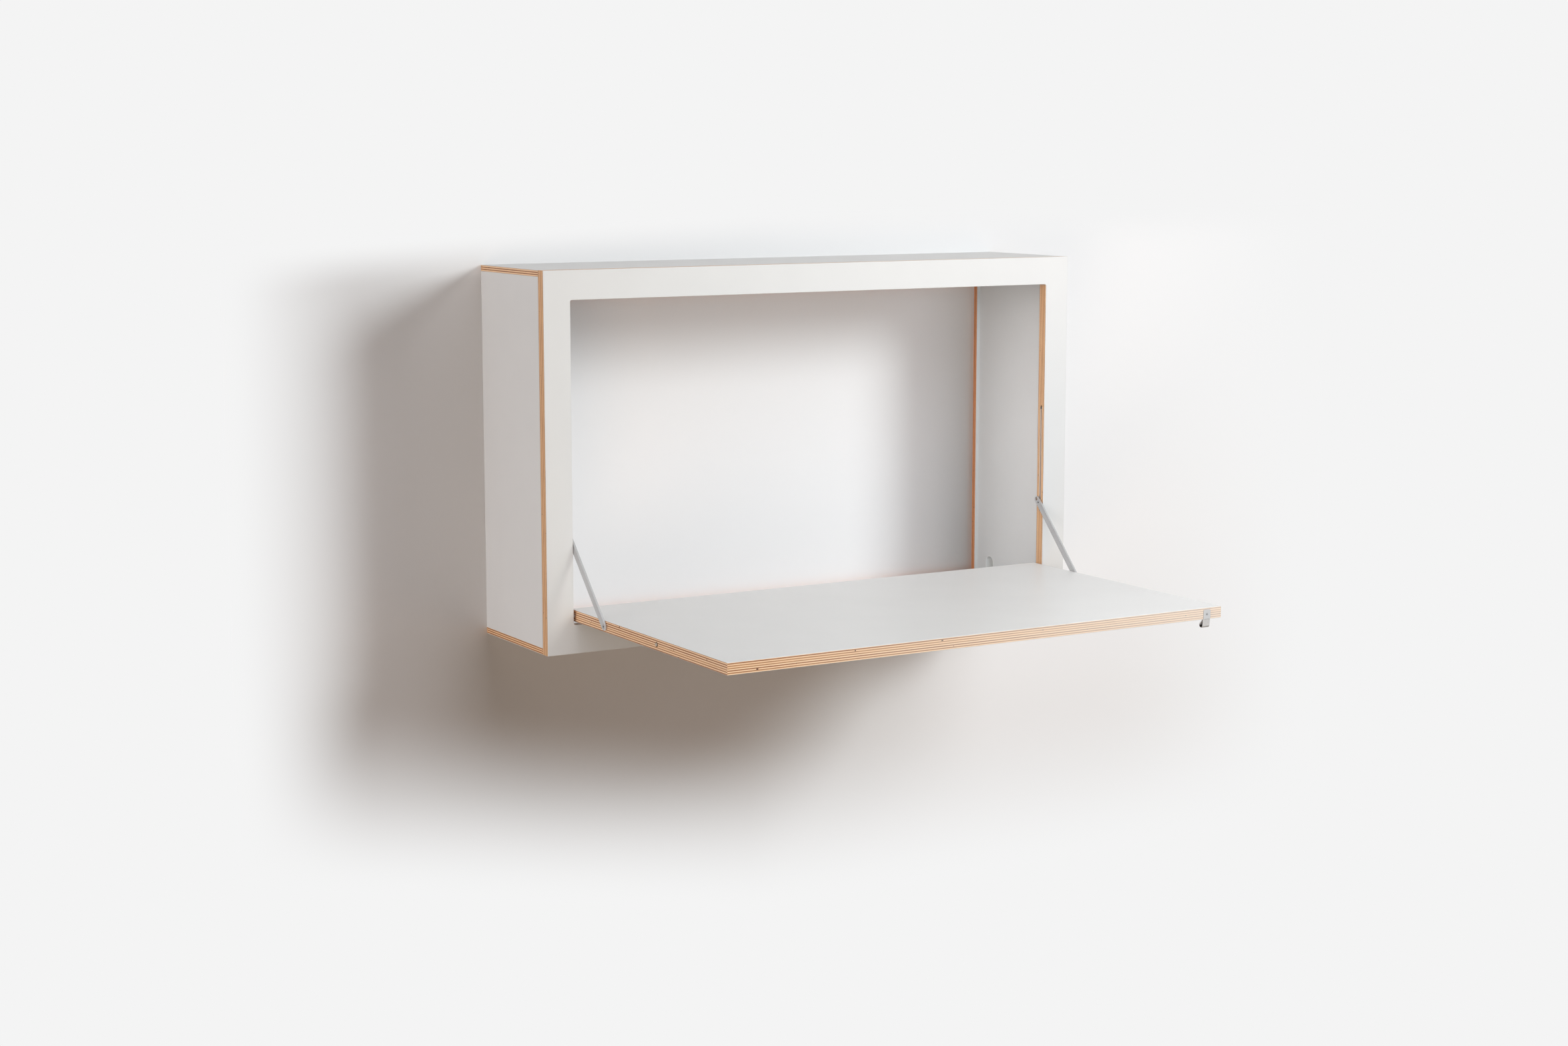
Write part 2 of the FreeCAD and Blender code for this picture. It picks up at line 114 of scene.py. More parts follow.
def blend_colour(tree, amount, first, second):
    """First colour where amount is 0, and second where it is 1."""
    return add(tree, "Mix", {0: amount, 6: first, 7: second}, data_type="RGBA").outputs[2]


def blend_vector(tree, amount, first, second):
    """First direction where amount is 0, and second where it is 1."""
    return add(tree, "Mix", {0: amount, 4: first, 5: second}, data_type="VECTOR").outputs[1]


def blend_number(tree, amount, first, second):
    """First number where amount is 0, and second where it is 1."""
    return calc(tree, "ADD", first, calc(tree, "MULTIPLY", amount, calc(tree, "SUBTRACT", second, first)))


def ramp(tree, value, low, high):
    """Smooth step from 0 at low to 1 at high."""
    inputs = {"Value": value, "From Min": low, "From Max": high}
    return add(tree, "MapRange", inputs, interpolation_type="SMOOTHSTEP").outputs[0]


def new_group(name, inputs, outputs):
    """Shader node group with named sockets: its tree, what comes in and what goes out."""
    tree = bpy.data.node_groups.new(name, "ShaderNodeTree")
    for socket, kind in inputs.items():
        tree.interface.new_socket(socket, in_out="INPUT", socket_type="NodeSocket" + kind)
    for socket, kind in outputs.items():
        tree.interface.new_socket(socket, in_out="OUTPUT", socket_type="NodeSocket" + kind)
    return tree, tree.nodes.new("NodeGroupInput").outputs, tree.nodes.new("NodeGroupOutput")


def use_group(tree, group, inputs):
    """What comes out of one use of a node group."""
    made = tree.nodes.new("ShaderNodeGroup")
    made.node_tree = group
    feed(tree, made, inputs)
    return made.outputs


SKIN_CLOUD = 0.012                        # broad waves of a smooth skin, in a millimetre
CLOUD_SHADE = (0.965, 1.02)               # their darkest and palest
SPECK_SHADE = (0.985, 1.015)              # the same for the fine grain


def make_skin_group():
    """Fine mottling of a smooth skin, such as laminate or plastic: a shade and a relief."""
    tree, given, out = new_group("skin_grain", {"Place": "Vector", "Scale": "Float"},
                                 {"Shade": "Float", "Relief": "Float"})
    cloud = noise(tree, given["Place"], SKIN_CLOUD, detail=3.0)
    speck = noise(tree, given["Place"], given["Scale"], detail=2.0)
    shade = calc(tree, "MULTIPLY", blend_number(tree, cloud, *CLOUD_SHADE),
                 blend_number(tree, speck, *SPECK_SHADE))
    feed(tree, out, {"Shade": shade, "Relief": speck})
    return tree


skin_grain = make_skin_group()
LAMINATE = 0.4                            # mm of white laminate on each face
CREAM = (0.94, 0.71, 0.48, 1)             # long grain, light
STRAW = (0.91, 0.62, 0.385, 1)            # long grain, dark
TAN = (0.61, 0.33, 0.15, 1)               # end grain, light
RUSSET = (0.32, 0.112, 0.035, 1)          # end grain, dark
SPLIT = (0.07, 0.02, 0.004, 1)            # open splits and knots
PLY_WANDER = 0.4                          # mm that the plies rise and fall
WANDER_WAVES = 0.02                       # in a millimetre, as all waves are
FIBRE_DRAW = 0.97                         # share of its run that a fibre is drawn out by
FIBRE_WAVES = 1.4
FIBRE_SHADE = (0.78, 1.15)                # darkest and palest fibre
PLY_SHIFT = 7.3                           # mm from one ply's pattern to the next one's
PLY_TONE = 0.75                           # how much the plies differ in tone
PATCH_WAVES = 0.03
PATCH_TONE = (-0.35, 0.85)                # lightest and darkest patch in a ply
GLUE_SHADE = 0.74                         # how dark the glue between two plies is
GLUE_WIDTH = (0.02, 0.14)                 # share of a ply, where it is full and where it is gone
SPLIT_SPACING = 95                        # mm of ply that may hold one split
SPLIT_CHANCE = 0.12
SPLIT_STAGGER = 0.37                      # of the spacing, from one ply to the next
SPLIT_HALF = (0.3, 1.8)                   # mm, half the length of the shortest and the longest


def make_ply_group():
    """Cut edge of laminated plywood.  Place is in mm from the board's lowest corner, Through and
    Grain are the directions of its thickness and of its face plies' grain, and Rise is how far the
    plies lie off the middle."""
    inputs = {"Place": "Vector", "Facing": "Vector", "Through": "Vector", "Grain": "Vector",
              "Thickness": "Float", "Ply": "Float", "Plies": "Float", "Rise": "Float", "Seed": "Float"}
    tree, given, out = new_group("ply_edge", inputs,
                                 {"Color": "Color", "Laminate": "Float", "Relief": "Float"})
    place, facing, through, grain, thickness, ply, plies, rise, seed = (given[name] for name in inputs)
    cross = calc_vector(tree, "CROSS_PRODUCT", through, grain)
    depth = dot(tree, place, through)
    along = dot(tree, place, calc_vector(tree, "CROSS_PRODUCT", facing, through))

    wave = noise(tree, place, WANDER_WAVES, detail=2.0)
    wander = calc(tree, "MULTIPLY", calc(tree, "SUBTRACT", wave, 0.5), PLY_WANDER)
    spare = calc(tree, "SUBTRACT", thickness, calc(tree, "MULTIPLY", ply, plies))
    lowest = calc(tree, "SUBTRACT", calc(tree, "MULTIPLY", spare, 0.5), wander)
    first = calc(tree, "ADD", lowest, rise)
    layer = calc(tree, "DIVIDE", calc(tree, "SUBTRACT", depth, first), ply)
    index = calc(tree, "FLOOR", layer)
    inside = calc(tree, "FRACT", layer)
    odd = calc(tree, "FLOORED_MODULO", index, 2.0)

    face_end = calc(tree, "ABSOLUTE", dot(tree, facing, grain))
    cross_end = calc(tree, "ABSOLUTE", dot(tree, facing, cross))
    end_grain = blend_number(tree, odd, face_end, cross_end)
    drawn = drawn_out(tree, place, blend_vector(tree, odd, grain, cross), FIBRE_DRAW)
    shift = add(tree, "CombineXYZ", {0: calc(tree, "MULTIPLY", index, PLY_SHIFT), 1: seed})
    drawn = calc_vector(tree, "ADD", drawn, shift.outputs[0])
    fibres = noise(tree, drawn, FIBRE_WAVES, detail=3.0, roughness=0.65)
    patches = noise(tree, drawn, PATCH_WAVES, detail=2.0)

    key = calc(tree, "ADD", index, seed)
    chance = add(tree, "TexWhiteNoise", {"W": key}, noise_dimensions="1D").outputs[0]
    tone = calc(tree, "ADD", calc(tree, "MULTIPLY", chance, PLY_TONE),
                blend_number(tree, patches, *PATCH_TONE))
    long_grain = blend_colour(tree, tone, CREAM, STRAW)
    cut_grain = blend_colour(tree, tone, TAN, RUSSET)
    wood = blend_colour(tree, end_grain, long_grain, cut_grain)
    streak = blend_number(tree, fibres, *FIBRE_SHADE)
    edge = calc(tree, "MINIMUM", inside, calc(tree, "SUBTRACT", 1.0, inside))
    glue = blend_number(tree, ramp(tree, edge, *GLUE_WIDTH), GLUE_SHADE, 1.0)
    strength = calc(tree, "MULTIPLY", streak, glue)

    station = calc(tree, "ADD", calc(tree, "MULTIPLY", along, 1 / SPLIT_SPACING),
                   calc(tree, "MULTIPLY", index, SPLIT_STAGGER))
    spot = add(tree, "CombineXYZ", {0: calc(tree, "FLOOR", station), 1: index, 2: seed})
    draw = add(tree, "TexWhiteNoise", {"Vector": spot.outputs[0]}, noise_dimensions="3D")
    middle, luck, size = add(tree, "SeparateColor", {0: draw.outputs["Color"]}).outputs
    apart = calc(tree, "ABSOLUTE", calc(tree, "SUBTRACT", calc(tree, "FRACT", station), middle))
    shortest, longest = (half / SPLIT_SPACING for half in SPLIT_HALF)
    half_length = blend_number(tree, calc(tree, "POWER", size, 2.0), shortest, longest)
    split = calc(tree, "MULTIPLY", calc(tree, "LESS_THAN", apart, half_length),
                 calc(tree, "LESS_THAN", luck, SPLIT_CHANCE))

    past_far_face = calc(tree, "GREATER_THAN", depth, calc(tree, "SUBTRACT", thickness, LAMINATE))
    feed(tree, out, {
        "Color": blend_colour(tree, split, scaled(tree, wood, strength), SPLIT),
        "Laminate": calc(tree, "MAXIMUM", calc(tree, "LESS_THAN", depth, LAMINATE), past_far_face),
        "Relief": calc(tree, "MULTIPLY", strength, calc(tree, "SUBTRACT", 1.0, split))})
    return tree


ply_edge = make_ply_group()


def new_material(name):
    """Material with its node tree and its Principled shader."""
    material = bpy.data.materials.new(name)
    material.use_nodes = True
    return material, material.node_tree, material.node_tree.nodes["Principled BSDF"]


def millimetres_from(tree, corner=(0, 0, 0)):
    """Place on the piece in millimetres from a corner, and the way that its surface faces."""
    coordinates = add(tree, "TexCoord").outputs
    apart = calc_vector(tree, "SUBTRACT", coordinates["Object"], tuple(corner))
    return scaled(tree, apart, 1000.0), coordinates["Normal"]


def relief_to_normal(tree, shader, relief, height):
    """Bump of the given height in metres."""
    bump = add(tree, "Bump", {"Height": relief, "Distance": height, "Strength": 1.0})
    feed(tree, shader, {"Normal": bump.outputs[0]})


def paint(name, material):
    """Puts a material in the slots of a CAD piece."""
    for slot in frame["nodes"][name].material_slots:
        slot.material = material


LAMINATE_WHITE = (0.70, 0.70, 0.69)
LAMINATE_GRAIN = 1.1
LAMINATE_RELIEF = 0.12                    # share of the ply's relief
PLY_RELIEF = 0.00012
PLY_ROUGHNESS, LAMINATE_ROUGHNESS = 0.42, 0.38
# Painted sheen: pale colour blended into ply edges towards the right, in place of a lamp's reflection
PAINTED_SHEEN_COLOUR = (0.76, 0.74, 0.70, 1)
PAINTED_SHEEN_RUN = (-150, 950)                # mm from the left, where the painted sheen starts and is full


def ply_with_painted_sheen(tree, place, facing, colour, side, amount):
    """Ply edge on one side of a board with painted sheen: paler towards the right, as if a lamp shone off
    it.
    """
    along = add(tree, "SeparateXYZ", {0: place}).outputs["X"]
    square = calc(tree, "ABSOLUTE", dot(tree, facing, side))
    share = calc(tree, "MULTIPLY", ramp(tree, along, *PAINTED_SHEEN_RUN), calc(tree, "MULTIPLY", square, amount))
    return blend_colour(tree, share, colour, PAINTED_SHEEN_COLOUR)


def laminated_board(board, through, grain, thickness, ply, plies, seed, rise=0.0,
                    stain=(1, 1, 1), painted_sheen=(Y, 0.0)):
    """Gives a CAD board its laminated faces and bare ply edges."""
    material, tree, shader = new_material(board + "_laminated_ply")
    place, facing = millimetres_from(tree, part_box(board)[0])
    edge = use_group(tree, ply_edge, {
        "Place": place, "Facing": facing, "Through": through, "Grain": grain,
        "Thickness": thickness, "Ply": ply, "Plies": float(plies), "Rise": rise, "Seed": seed})
    skin = use_group(tree, skin_grain, {"Place": place, "Scale": LAMINATE_GRAIN})
    white = scaled(tree, LAMINATE_WHITE, skin["Shade"])
    wood = calc_vector(tree, "MULTIPLY", edge["Color"], stain)
    wood = ply_with_painted_sheen(tree, place, facing, wood, *painted_sheen)
    skin_relief = calc(tree, "MULTIPLY", skin["Relief"], LAMINATE_RELIEF)
    relief = blend_number(tree, edge["Laminate"], edge["Relief"], skin_relief)
    feed(tree, shader, {
        "Base Color": blend_colour(tree, edge["Laminate"], wood, white),
        "Roughness": blend_number(tree, edge["Laminate"], PLY_ROUGHNESS, LAMINATE_ROUGHNESS)})
    relief_to_normal(tree, shader, relief, PLY_RELIEF)
    paint(board, material)


FACE_BOARD = (18.4, 1.7, 11)              # thickness, inner ply, number of plies
# Painted sheen on the front frame's edges that face up and down, and on the flap's front and back edges
laminated_board("front_frame", Y, X, *FACE_BOARD, seed=3.0, stain=(0.97, 0.90, 0.80), painted_sheen=(Z, 0.6))
laminated_board("flap", Z, X, *FACE_BOARD, seed=1719.0, rise=0.35, painted_sheen=(Y, 0.52))

# ---- Top, bottom and outer sides
# Seven-ply birch boards with the same laminate, glued edge to edge behind the front frame.
# The top and bottom boards run over the sides, so their ply ends show at both ends of the casing.

SHELL_BOARD = (10.4, 1.72, 7)             # thickness, inner ply, number of plies
laminated_board("top_panel", Z, X, *SHELL_BOARD, seed=1152.0, stain=(1.0, 0.97, 0.92))
laminated_board("bottom_panel", Z, Y, *SHELL_BOARD, seed=2900.5, stain=(0.98, 0.91, 0.82))
laminated_board("left_side_panel", X, Z, *SHELL_BOARD, seed=14.0)
laminated_board("right_side_panel", X, Z, *SHELL_BOARD, seed=17.0)

# ---- Inner sides and wall frame
# Thick boards line the sides behind the stiles, and a thin frame closes the casing at the wall.
# Both are of the same laminated ply, and the wall screws go through the thin frame's rails.

laminated_board("left_side_lining", X, Z, *FACE_BOARD, seed=20.0)
laminated_board("right_side_lining", X, Z, *FACE_BOARD, seed=23.0)
laminated_board("wall_frame", Y, X, *SHELL_BOARD, seed=26.0, stain=(1.02, 0.67, 0.50))

# ---- Loose tenons
# Beech tenons with eased edges, glued into mortises where the boards meet.  They are hidden once
# the casing is together.

BEECH_PALE = (0.70, 0.46, 0.27, 1)
BEECH_DARK = (0.50, 0.29, 0.15, 1)
BEECH_SQUEEZE = (1.0, 0.12, 1.0)          # its flecks are long from front to back
BEECH_WAVES = 1.6


def make_beech():
    """Planed beech with fine long flecks."""
    material, tree, shader = new_material("beech")
    place, _ = millimetres_from(tree)
    squeezed = calc_vector(tree, "MULTIPLY", place, BEECH_SQUEEZE)
    fleck = noise(tree, squeezed, BEECH_WAVES, detail=4.0)
    feed(tree, shader, {"Base Color": blend_colour(tree, fleck, BEECH_PALE, BEECH_DARK),
                        "Roughness": 0.65})
    relief_to_normal(tree, shader, fleck, height=0.0001)
    return material


beech = make_beech()
MERGE_GAP = 2e-6
FLAT_ANGLE = math.radians(1)              # faces closer to level than this are one
SMOOTH_ANGLE = math.radians(32)           # edges sharper than this stay crisp


def merged_copy(node):
    """Worked mesh of a CAD piece, merged, with flat faces whole again."""
    source = frame["nodes"][node].data
    mesh = bpy.data.meshes.new(node)
    mesh.from_pydata([v.co for v in source.vertices], [], [p.vertices for p in source.polygons])
    work = bmesh.new()
    work.from_mesh(mesh)
    bpy.data.meshes.remove(mesh)
    bmesh.ops.remove_doubles(work, verts=work.verts, dist=MERGE_GAP)
    bmesh.ops.dissolve_limit(work, angle_limit=FLAT_ANGLE, verts=work.verts, edges=work.edges)
    return work


def finish_piece(name, work, material, body, slot, *nodes):
    """Turns a worked mesh into a piece that rides on a body and stands for CAD nodes."""
    for face in work.faces:
        face.smooth = True
    for edge in work.edges:
        edge.smooth = edge.is_manifold and edge.calc_face_angle(0) < SMOOTH_ANGLE
    mesh = bpy.data.meshes.new(name)
    work.to_mesh(mesh)
    work.free()
    mesh.materials.append(material)
    piece = bpy.data.objects.new(name, mesh)
    bpy.context.scene.collection.objects.link(piece)
    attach(piece, body)
    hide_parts(*nodes)
    return piece


def eased_piece(node, material, body, slot, radius, turn=35):
    """A CAD piece with its edges that turn by more than some degrees rounded over."""
    work = merged_copy(node)
    sharp = [e for e in work.edges if e.is_manifold and e.calc_face_angle() > math.radians(turn)]
    bmesh.ops.bevel(work, geom=sharp, offset=radius, segments=2, profile=0.5, affect="EDGES")
    finish_piece("eased_" + node, work, material, body, slot, node)


for tenons in ("casing_tenons", "front_frame_tenons", "wall_frame_tenons"):
    eased_piece(tenons, beech, "casing", "birch_tenon", radius=0.0012)

# ---- Cable slot liner
# White moulded sleeve, pushed into the round-topped slot low in the right side, so that a cable
# doesn't rub on the bare ply.

MOULD_GRAIN = 3.0


def moulded(name, colour, roughness, relief_height):
    """Matt moulded plastic or rubber with a fine grain."""
    material, tree, shader = new_material(name)
    place, _ = millimetres_from(tree)
    skin = use_group(tree, skin_grain, {"Place": place, "Scale": MOULD_GRAIN})
    feed(tree, shader, {"Base Color": scaled(tree, colour, skin["Shade"]), "Roughness": roughness})
    relief_to_normal(tree, shader, skin["Relief"], relief_height)
    return material


white_plastic = moulded("white_plastic", (0.82, 0.82, 0.80), roughness=0.45, relief_height=0.00003)
eased_piece("cable_slot_liner", white_plastic, "casing", "white_plastic", radius=0.0003)

# ---- Guide channels and their stops
# Plastic channel pressed into the groove in each stile, where the strut's block runs.  Its beige is
# partly its own colour and partly a painted reflection of the bare ply around it.
# A rubber stop closes each end.

# painted reflection: the beige colour stands in for warm ply seen in the channel's sides
plastic_with_painted_reflection = moulded("plastic_with_painted_reflection", (0.70, 0.58, 0.49), roughness=0.5, relief_height=0.00003)
black_rubber = moulded("black_rubber", (0.055, 0.055, 0.055), roughness=0.8, relief_height=0.00006)
for side in ("left", "right"):
    paint(side + "_guide_channel", plastic_with_painted_reflection)
paint("guide_stops", black_rubber)

# ---- Hinge bushes and pins
# Black plastic bushes are pressed into the stiles' inner edges.  Plain ground steel pins, glued
# into the flap's side edges, turn in them.

RING_WAVES = 9.0
RING_DRAW = 0.05                          # how much of its run off the axis a ring keeps
RING_SHADE = (0.85, 1.1)                  # darkest and palest
RING_GLOSS = 0.08                         # how far the roughness goes up and down
METAL_RELIEF = 0.00001
SOCKET_SHADE_FADE = 0.3                         # mm from the painted shade in a key socket to the bright metal


def turned_metal(name, colour, roughness, axis, socket=None):
    """Metal turned or ground round an axis, with fine rings along it.  A socket is the place and the
    radius in mm of a screw's key socket, where painted shade darkens the metal inside it."""
    material, tree, shader = new_material(name)
    place, _ = millimetres_from(tree)
    squeezed = calc_vector(tree, "MULTIPLY", place, tuple(1.0 if a else RING_DRAW for a in axis))
    rings = noise(tree, squeezed, RING_WAVES, detail=2.0)
    shade = blend_number(tree, rings, *RING_SHADE)
    # painted shade: the metal turns dark within the key socket's radius
    if socket:
        centre, radius = socket
        reach = calc_vector(tree, "SUBTRACT", place, tuple(centre * 1000))
        away = calc_vector(tree, "CROSS_PRODUCT", reach, axis)
        away = calc_vector(tree, "LENGTH", away, result="Value")
        shade = calc(tree, "MULTIPLY", shade, ramp(tree, away, radius, radius + SOCKET_SHADE_FADE))
    gloss = blend_number(tree, rings, roughness - RING_GLOSS, roughness + RING_GLOSS)
    feed(tree, shader, {"Base Color": scaled(tree, colour, shade), "Roughness": gloss, "Metallic": 1.0})
    relief_to_normal(tree, shader, rings, METAL_RELIEF)
    return material


black_plastic = moulded("black_plastic", (0.045, 0.045, 0.047), roughness=0.42, relief_height=0.00003)
ground_steel = turned_metal("ground_steel", (0.58, 0.58, 0.59), 0.32, X)
eased_piece("hinge_bushes", black_plastic, "casing", "black_plastic", radius=0.0004)
eased_piece("hinge_pins", ground_steel, "flap", "steel", radius=0.0006)

# ---- Lower strut pivots
# A brass insert in the flap's side edge takes the shoulder screw that each strut turns on, with
# a thin black washer between strut and flap.  The screw's flat head has a key socket, darkened
# with painted shade.

KEY_SOCKET = 1.2                          # mm, the radius of the painted shade in it


def pivot(joint_name):
    """Place of a joint's axis at rest."""
    for joint in frame["joints"]:
        if joint["name"] == joint_name:
            return Vector(joint["pos_m"])


low_pivot = pivot("right_strut_swing")
low_screw = turned_metal("low_screw", (0.56, 0.56, 0.56), 0.5, X, (low_pivot, KEY_SOCKET))
turned_brass = turned_metal("turned_brass", (0.66, 0.47, 0.20), 0.35, X)
eased_piece("strut_inserts", turned_brass, "flap", "brass", radius=0.0003)
eased_piece("strut_washers", black_plastic, "flap", "black_plastic", radius=0.00012)
eased_piece("strut_screws", low_screw, "flap", "steel", radius=0.00015)

# ---- Struts, their upper pivots and their blocks
# Flat bars of satin anodised aluminium, brushed along their length, with round ends.  The upper
# pivot screw goes into a black block that slides in the stile's channel.

ALUMINIUM = (0.64, 0.64, 0.645)
BRUSH_DRAW = 0.985                        # share of its run that a brushed line is drawn out by
BRUSH_WAVES = 5.0
BRUSH_SHADE = (0.93, 1.06)                # darkest and palest line
HAZE_WAVES = 0.06                         # of the faint clouds in its gloss
HAZE_ROUGHNESS = (0.52, 0.62)


def brushed_aluminium(direction):
    """Satin anodised aluminium, brushed along a direction."""
    material, tree, shader = new_material("satin_aluminium")
    place, _ = millimetres_from(tree)
    lines = noise(tree, drawn_out(tree, place, direction, BRUSH_DRAW), BRUSH_WAVES, detail=3.0)
    haze = noise(tree, place, HAZE_WAVES, detail=2.0)
    feed(tree, shader, {
        "Base Color": scaled(tree, ALUMINIUM, blend_number(tree, lines, *BRUSH_SHADE)),
        "Roughness": blend_number(tree, haze, *HAZE_ROUGHNESS), "Metallic": 0.9})
    relief_to_normal(tree, shader, lines, METAL_RELIEF)
    return material


block_low, block_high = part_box("right_slider_block")
high_pivot = (block_low + block_high) / 2
strut_line = Vector((0, high_pivot.y - low_pivot.y, high_pivot.z - low_pivot.z)).normalized()
satin_aluminium = brushed_aluminium(tuple(strut_line))
# painted shade in the slider pin's key socket
high_screw = turned_metal("high_screw", (0.68, 0.68, 0.68), 0.5, X, (high_pivot, KEY_SOCKET))
for side in ("left", "right"):
    eased_piece(side + "_strut_bar", satin_aluminium, side + "_strut", "aluminium", radius=0.0004)
    eased_piece(side + "_slider_pin", high_screw, side + "_strut", "steel", radius=0.00015)
    eased_piece(side + "_slider_block", black_plastic, side + "_slider", "black_plastic", radius=0.0003)

# ---- Catches
# A round-nosed plunger in each side edge of the flap snaps into the hole in the strut's end when
# the flap is closed.  It slides in a brass sleeve against a coil spring.

nickel = turned_metal("nickel_plate", (0.52, 0.45, 0.39), 0.55, X)
dull_brass = turned_metal("dull_brass", (0.20, 0.12, 0.06), 0.6, X)
eased_piece("catch_sleeves", dull_brass, "flap", "brass", radius=0.00015)
for side in ("left", "right"):
    eased_piece(side + "_catch_plunger", nickel, side + "_catch", "steel", radius=0.0003, turn=30)


def make_coil_tree():
    """Coil spring along +Z: a round wire on a helix.  Returns its tree and its inputs' names."""
    tree = bpy.data.node_groups.new("coil_spring", "GeometryNodeTree")
    ids = {}
    for name, kind in (("Turns", "Float"), ("Radius", "Float"), ("Length", "Float"),
                       ("Wire Radius", "Float"), ("Material", "Material")):
        made = tree.interface.new_socket(name, in_out="INPUT", socket_type="NodeSocket" + kind)
        ids[name] = made.identifier
    tree.interface.new_socket("Geometry", in_out="OUTPUT", socket_type="NodeSocketGeometry")
    given = tree.nodes.new("NodeGroupInput").outputs
    spiral = tree.nodes.new("GeometryNodeCurveSpiral")
    feed(tree, spiral, {"Resolution": 24, "Rotations": given["Turns"], "Start Radius": given["Radius"],
                        "End Radius": given["Radius"], "Height": given["Length"]})
    ring = tree.nodes.new("GeometryNodeCurvePrimitiveCircle")
    feed(tree, ring, {"Resolution": 10, "Radius": given["Wire Radius"]})
    wire = tree.nodes.new("GeometryNodeCurveToMesh")
    feed(tree, wire, {"Curve": spiral.outputs[0], "Profile Curve": ring.outputs[0], "Fill Caps": True})
    real = tree.nodes.new("GeometryNodeRealizeInstances")
    feed(tree, real, {0: wire.outputs[0]})
    coat = tree.nodes.new("GeometryNodeSetMaterial")
    feed(tree, coat, {"Geometry": real.outputs[0], "Material": given["Material"]})
    feed(tree, tree.nodes.new("NodeGroupOutput"), {0: coat.outputs[0]})
    return tree, ids


coil_tree, coil_ids = make_coil_tree()
spring_steel = turned_metal("spring_steel", (0.45, 0.45, 0.46), 0.3, X)
SPRING_WIRE = 0.0003                      # radius
SPRING_TURNS = 6.0


def make_spring(side):
    """Coil spring in the space of its CAD node, its axis along X, riding on the flap."""
    low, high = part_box(side + "_catch_spring")
    centre = (low + high) / 2
    blank = bpy.data.objects.new("spring_blank", bpy.data.meshes.new("spring_blank"))
    bpy.context.scene.collection.objects.link(blank)
    maker = blank.modifiers.new("coil", "NODES")
    maker.node_group = coil_tree
    length = high.x - low.x - 2 * SPRING_WIRE
    for name, value in (("Turns", SPRING_TURNS), ("Radius", (high.y - low.y) / 2 - SPRING_WIRE),
                        ("Length", length), ("Wire Radius", SPRING_WIRE), ("Material", spring_steel)):
        maker[coil_ids[name]] = value
    evaluated = blank.evaluated_get(bpy.context.evaluated_depsgraph_get())
    mesh = bpy.data.meshes.new_from_object(evaluated)
    bpy.data.objects.remove(blank)
    mesh.transform(Matrix.Translation((centre.x - length / 2, centre.y, centre.z))
                   @ Matrix.Rotation(math.radians(90), 4, "Y"))
    work = bmesh.new()
    work.from_mesh(mesh)
    bmesh.ops.recalc_face_normals(work, faces=work.faces)
    spring = finish_piece(side + "_coil_spring", work, spring_steel, "flap", "spring_steel",
                          side + "_catch_spring")
    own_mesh(spring)


for side in ("left", "right"):
    make_spring(side)

# ---- Pull tab
# A folded band of light grey leather, with painted shade inside its loop, hangs under the flap's front
# edge.
# Its two ends are clamped in a notch by a small zinc-plated plate with one countersunk screw.

EYE_TOP = (1.0, 12.2)                     # mm back and up from the loop's lowest front corner
EYE_FOOT = (5.2, 4.2)                     # the same, to the middle of its round bottom
EYE_RADIUS = 3.2
EYE_MARGIN = 0.3
# painted shade: near black colour for the strap's inner side, inside the loop
PAINTED_LOOP_SHADE = (0.012, 0.007, 0.004, 1)
LEATHER_DARK = (0.42, 0.41, 0.40, 1)
LEATHER_PALE = (0.68, 0.67, 0.66, 1)
LEATHER_ROUGHNESS = (0.55, 0.7)
PEBBLES = 2.2                             # in a millimetre
LEATHER_WAVES = 0.9
PULL_SOCKET = 0.8                         # mm, the radius of the painted shade in the screw's key socket


def loop_shade_mask(tree, place):
    """1 on the strap's inner side, where the painted shade goes, and 0 outside."""
    spot = add(tree, "SeparateXYZ", {0: place}).outputs
    climb = add(tree, "MapRange", {"Value": spot["Z"], "From Min": EYE_FOOT[1], "From Max": EYE_TOP[1]})
    climb = climb.outputs[0]
    aside = calc(tree, "SUBTRACT", spot["Y"], blend_number(tree, climb, EYE_FOOT[0], EYE_TOP[0]))
    under = calc(tree, "MINIMUM", calc(tree, "SUBTRACT", spot["Z"], EYE_FOOT[1]), 0.0)
    reach = add(tree, "CombineXYZ", {0: aside, 1: under}).outputs[0]
    away = calc_vector(tree, "LENGTH", reach, result="Value")
    return calc(tree, "LESS_THAN", away, blend_number(tree, climb, EYE_RADIUS + EYE_MARGIN, EYE_MARGIN))


def make_leather():
    """Pebbled light grey leather, with painted shade that turns it near black inside the loop."""
    material, tree, shader = new_material("grey_leather")
    place, _ = millimetres_from(tree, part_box("pull_strap")[0])
    pebbles = add(tree, "TexVoronoi", {"Vector": place, "Scale": PEBBLES}, feature="SMOOTH_F1").outputs[0]
    cloud = noise(tree, place, LEATHER_WAVES, detail=4.0)
    colour = blend_colour(tree, cloud, LEATHER_DARK, LEATHER_PALE)
    feed(tree, shader, {
        "Base Color": blend_colour(tree, loop_shade_mask(tree, place), colour, PAINTED_LOOP_SHADE),
        "Roughness": blend_number(tree, cloud, *LEATHER_ROUGHNESS)})
    relief_to_normal(tree, shader, pebbles, height=0.00012)
    return material


screw_low, screw_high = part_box("pull_screw")
pull_centre = (screw_low + screw_high) / 2
pull_steel = turned_metal("pull_steel", (0.68, 0.68, 0.68), 0.5, Y, (pull_centre, PULL_SOCKET))
zinc = turned_metal("zinc_plate", (0.74, 0.74, 0.74), 0.5, Z)
eased_piece("pull_strap", make_leather(), "flap", "leather", radius=0.00025)
eased_piece("pull_plate", zinc, "flap", "steel", radius=0.0002)
eased_piece("pull_screw", pull_steel, "flap", "steel", radius=0.0001)

# ---- Wall
# The desk hangs on a plain white wall.  Near the desk the wall shows its soft shadow, and further
# off it is an even white.  It can be seen through from behind, so that the desk's back shows.

